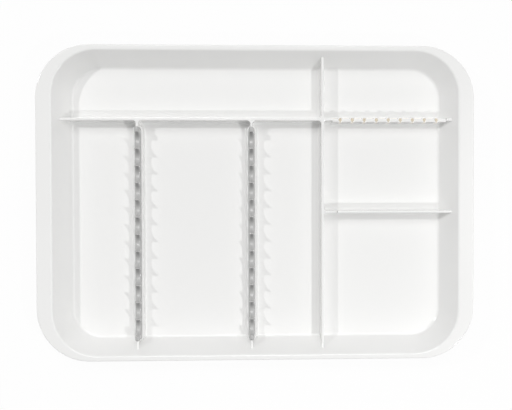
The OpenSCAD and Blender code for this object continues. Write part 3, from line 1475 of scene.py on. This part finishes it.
CLOUDS = (28.0, 3.0)  # scale and detail of the soft changes of colour
SMUDGES = (60.0, 4.0)  # the same of the changes of roughness
GRAIN_DETAIL = 2.0
SPECKS = 90.0  # cells to a metre that may hold a speck of dust
SPECK_SHARE = 0.035  # share of the cells that do
SPECK_EDGE = (0.012, 0.034)  # where a speck begins to fade and where it ends, in cells
PAINTED_SHADE_EDGE = (-0.1, 0.7)  # the strips' mark where the painted shade begins, and where it is full


def surface_group() -> bpy.types.NodeTree:
    """Makes the shader group for a moulded surface: clouds, smudges, grain, dust and painted shade.

    Painted shade darkens the sides of the hollows that face the front, which the strips' attribute marks.

    Returns:
        The group, which gives a colour, a roughness and a height.
    """
    values = ("Cloud", "Roughness", "Smudge", "Grain Scale", "Dust", "Grime")
    inputs = {"Colour": "NodeSocketColor"} | {name: "NodeSocketFloat" for name in values}
    outputs = {"Colour": "NodeSocketColor", "Roughness": "NodeSocketFloat", "Height": "NodeSocketFloat"}
    nodes = new_tree("moulded_surface", inputs, outputs, "ShaderNodeTree")
    given = nodes.add("NodeGroupInput").outputs
    place = nodes.add("ShaderNodeTexCoord").outputs["Object"]

    def noise(scale: object, detail: float) -> bpy.types.NodeSocket:
        """Adds noise about zero and gives its output."""
        found = nodes.add("ShaderNodeTexNoise", {"Vector": place, "Scale": scale, "Detail": detail})
        return nodes.math("SUBTRACT", found.outputs[0], 0.5)

    cloud = nodes.math("MULTIPLY", noise(*CLOUDS), given["Cloud"])
    cells = nodes.add("ShaderNodeTexVoronoi", {"Vector": place, "Scale": SPECKS}).outputs
    chance = nodes.add("ShaderNodeSeparateColor", {"Color": cells["Color"]}).outputs[0]
    near = nodes.ramp(cells["Distance"], (SPECK_EDGE[0], 1.0), (SPECK_EDGE[1], 0.0))
    dusty = nodes.math("MULTIPLY", near, nodes.math("LESS_THAN", chance, SPECK_SHARE))
    speck = nodes.math("MULTIPLY", dusty, given["Dust"])
    # Painted shade: the front-facing sides of the strips' hollows are darkened where the mark says
    steep = nodes.add("ShaderNodeAttribute", attribute_name=SHADE_MASK).outputs["Fac"]
    shade_amount = nodes.ramp(steep, (PAINTED_SHADE_EDGE[0], 0.0), (PAINTED_SHADE_EDGE[1], 1.0))
    dust_and_shade = nodes.math("ADD", speck, nodes.math("MULTIPLY", shade_amount, given["Grime"]))
    shade = nodes.math("SUBTRACT", nodes.math("ADD", cloud, 1.0), dust_and_shade)
    smudge = nodes.math("MULTIPLY", noise(*SMUDGES), given["Smudge"])
    nodes.add("NodeGroupOutput", {
        "Colour": nodes.vector("MULTIPLY", given["Colour"], shade),
        "Roughness": nodes.math("ADD", nodes.math("ADD", smudge, given["Roughness"]), speck),
        "Height": noise(given["Grain Scale"], GRAIN_DETAIL)})
    return nodes.tree


@dataclass(frozen=True)
class Plastic:
    """A moulded plastic.

    Attributes:
        name: Name of the material.
        colour: Linear base colour.
        roughness: Mean roughness.
        cloud: Strength of the soft changes of colour.
        smudge: Strength of the changes of roughness.
        grain: Grains to a metre.
        relief: Height of the grain, in metres.
        dust: Strength of the dust specks.
        painted_shade: How much darker the sides of the hollows that face the front are painted, as painted
            shade.
        painted_glow: Strength of a painted glow, an emission that stands in for light shining through thin
            walls.
        painted_glow_colour: Colour of that painted glow.
        ior: Index of refraction.
    """

    name: str
    colour: tuple[float, float, float]
    roughness: float
    cloud: float
    smudge: float
    grain: float
    relief: float
    dust: float
    painted_shade: float = 0.0
    painted_glow: float = 0.0
    painted_glow_colour: tuple[float, float, float] = (1.0, 0.93, 0.82)
    ior: float = 1.5

    def material(self, group: bpy.types.NodeTree) -> bpy.types.Material:
        """Makes the material.

        Args:
            group: The shared surface group.

        Returns:
            The material.
        """
        made = bpy.data.materials.new(self.name)
        nodes = fresh_nodes(made)
        surface = nodes.add("ShaderNodeGroup", node_tree=group)
        values = {"Colour": (*self.colour, 1.0), "Cloud": self.cloud, "Roughness": self.roughness,
                  "Smudge": self.smudge, "Grain Scale": self.grain, "Dust": self.dust, "Grime": self.painted_shade}
        for label, value in values.items():
            surface.inputs[label].default_value = value
        bump = nodes.add("ShaderNodeBump", {"Strength": 1.0, "Distance": self.relief,
                                            "Height": surface.outputs["Height"]})
        shader = nodes.add("ShaderNodeBsdfPrincipled", {
            "Base Color": surface.outputs["Colour"], "Roughness": surface.outputs["Roughness"],
            "Normal": bump.outputs[0], "IOR": self.ior, "Emission Color": (*self.painted_glow_colour, 1.0),
            "Emission Strength": self.painted_glow})
        nodes.add("ShaderNodeOutputMaterial", {"Surface": shader.outputs[0]})
        return made


# Studio


class LampKind(Enum):
    """The kinds of lamp in the studio."""

    NEAR = "POINT"
    FAR = "SUN"


@dataclass(frozen=True)
class Lamp:
    """A lamp that lights the tray from one side.

    Attributes:
        name: The lamp's name.
        kind: Near lamps throw crisp shadows that spread; far ones light evenly.
        place: Place of a near lamp, in millimetres, or the direction to a far one.
        strength: Strength of the lamp, in watts, or in watts to a square metre for a far one.
        size: Radius of a near lamp, in millimetres, or the angle that a far one fills, in degrees.
    """

    name: str
    kind: LampKind
    place: tuple[float, float, float]
    strength: float
    size: float

    def build(self) -> bpy.types.Object:
        """Makes the lamp, turned towards the tray.

        Returns:
            The lamp, as part of the stage.
        """
        data = bpy.data.lights.new(self.name, self.kind.value)
        data.energy = self.strength
        if self.kind is LampKind.NEAR:
            data.shadow_soft_size = self.size * MM
        else:
            data.angle = math.radians(self.size)
        made = linked(self.name, data)
        made.location = Vector(self.place) * MM
        made.rotation_euler = Vector(self.place).to_track_quat("Z", "Y").to_euler()
        return made


@dataclass
class Studio:
    """The pale floor, the light and the camera.

    Attributes:
        floor_size: Width of the floor, in metres.
        paper: Brightness of the floor's colour.
        whiteness: Share of plain white in what the camera sees of the floor.
        sky_low: Light from the horizon.
        sky_high: Light from overhead.
        lens: Focal length.
        sensor: Width of the camera's sensor.
        clip: Nearest distance that the camera sees, in metres.
        shift: Shift of the camera's frame.
        place: Place of the camera.
        tilt: Turns of the camera about X, Y and Z, in degrees.
        lamps: The lamps.
    """

    floor_size: float = 4.0
    paper: float = 0.9
    whiteness: float = 0.95
    sky_low: float = 0.57
    sky_high: float = 0.12
    lens: float = 52.354
    sensor: float = 36.0
    clip: float = 0.01
    shift: Point = (-0.06349, -0.00038)
    place: tuple[float, float, float] = (2.289, 9.300, 600.0)
    tilt: tuple[float, float, float] = (-1.0580, -2.1818, -0.1411)
    lamps: tuple[Lamp, ...] = (
        Lamp("left_flash", LampKind.NEAR, (-1228.0, 566.0, 1305.0), 27.0, 14.0),
        Lamp("right_flash", LampKind.NEAR, (428.0, -341.0, 708.0), 6.6, 10.0),
        Lamp("back_softbox", LampKind.FAR, (0.0, 0.5, 0.866), 0.86, 30.0),
        Lamp("right_softbox", LampKind.FAR, (0.5, 0.0, 0.866), 0.38, 30.0),
    )

    def seen(self, nodes: Nodes) -> bpy.types.NodeSocket:
        """Adds a mask that is 1 for what the camera sees, also in a reflection, and 0 for light.

        Args:
            nodes: The nodes of the tree that takes it.

        Returns:
            The mask's output.
        """
        path = nodes.add("ShaderNodeLightPath").outputs
        seen = path["Is Camera Ray"]
        for other in ("Is Glossy Ray", "Is Transmission Ray"):
            seen = nodes.math("MAXIMUM", seen, path[other])
        return seen

    def floor(self) -> bpy.types.Object:
        """Makes the floor, which the camera sees as white under a faint shadow.

        Returns:
            The floor, as part of the stage.
        """
        half = self.floor_size / 2
        corners = [(-half, -half, 0), (half, -half, 0), (half, half, 0), (-half, half, 0)]
        mesh = bpy.data.meshes.new("floor")
        mesh.from_pydata(corners, [], [(0, 1, 2, 3)])
        made = linked("floor", mesh)
        material = bpy.data.materials.new("floor")
        nodes = fresh_nodes(material)
        share = nodes.math("MULTIPLY", self.seen(nodes), self.whiteness)
        paper = nodes.add("ShaderNodeBsdfDiffuse", {"Color": (self.paper, self.paper, self.paper, 1.0)})
        white = nodes.add("ShaderNodeEmission", {"Color": (1.0, 1.0, 1.0, 1.0), "Strength": 1.0})
        mixed = nodes.add("ShaderNodeMixShader", {0: share, 1: paper.outputs[0], 2: white.outputs[0]})
        nodes.add("ShaderNodeOutputMaterial", {"Surface": mixed.outputs[0]})
        mesh.materials.append(material)
        return made

    def world(self) -> None:
        """Sets a sky that is seen as white, and that lights most from the horizon.

        It is too even to need samples of its own.
        """
        world = bpy.data.worlds.new("studio")
        nodes = fresh_nodes(world)
        up = nodes.parts(nodes.add("ShaderNodeTexCoord").outputs["Generated"])["Z"]
        strength = nodes.ramp(up, (0.0, self.sky_low), (1.0, self.sky_high))
        shown = nodes.math("MAXIMUM", strength, self.seen(nodes))
        sky = nodes.add("ShaderNodeBackground", {"Color": (1.0, 1.0, 1.0, 1.0), "Strength": shown})
        nodes.add("ShaderNodeOutputWorld", {"Surface": sky.outputs[0]})
        world.cycles.sampling_method = "NONE"
        bpy.context.scene.world = world

    def camera(self) -> bpy.types.Object:
        """Sets the camera above the tray.

        Returns:
            The camera.
        """
        data = bpy.data.cameras.new("camera")
        data.lens = self.lens
        data.sensor_width = self.sensor
        data.shift_x, data.shift_y = self.shift
        data.clip_start = self.clip
        made = linked("camera", data)
        turn = Matrix.Identity(4)
        for angle, axis in zip(self.tilt, "XYZ"):
            turn = turn @ Matrix.Rotation(math.radians(angle), 4, axis)
        made.matrix_world = Matrix.Translation(Vector(self.place) * MM) @ turn
        bpy.context.scene.camera = made
        return made

    def build(self) -> None:
        """Builds the whole studio."""
        self.floor()
        self.world()
        for lamp in self.lamps:
            lamp.build()
        self.camera()
        bpy.context.scene.view_settings.view_transform = "Standard"


WHITE = Plastic("white_plastic", (0.93, 0.929, 0.92), 0.13, 0.01, 0.05, 420.0, 0.000002, 0.25)
# Bores' finish: painted light, a warmer colour and a glow standing in for light through the posts' thin
# walls
BORE_GLOW = replace(WHITE, name="white_lining", colour=(0.93, 0.9, 0.84), painted_glow=0.115)
GREY = Plastic("grey_strip", (0.51, 0.51, 0.505), 0.14, 0.08, 0.06, 900.0, 0.000004, 0.1, painted_shade=0.4)


def finish_piece(piece: bpy.types.Object, body: str, material: bpy.types.Material) -> None:
    """Gives a piece its finish and its body.

    Args:
        piece: The piece.
        body: The body that it rides.
        material: The finish.
    """
    if not piece.data.materials:
        piece.data.materials.append(material)
    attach(piece, body)
    log.info("%s on %s: %d faces", piece.name, body, len(piece.data.polygons))


def main() -> None:
    """Builds the tray and the studio."""
    logging.basicConfig(level=logging.INFO, format="%(name)s: %(message)s")
    group = surface_group()
    white, bore_glow, grey = (finish.material(group) for finish in (WHITE, BORE_GLOW, GREY))
    tray = Tray(Moulding())
    pieces = [Pan(tray).build(), *Dividers(tray).build(), *SocketRail(tray).build(white, bore_glow)]
    pieces += [RackRib(tray, side).build() for side in Side]
    for piece in pieces:
        finish_piece(piece, "tray", white)
    for side in Side:
        finish_piece(RackStrip(side).build(grey), side.body, grey)
    Studio().build()


if __name__ == "__main__":
    main()
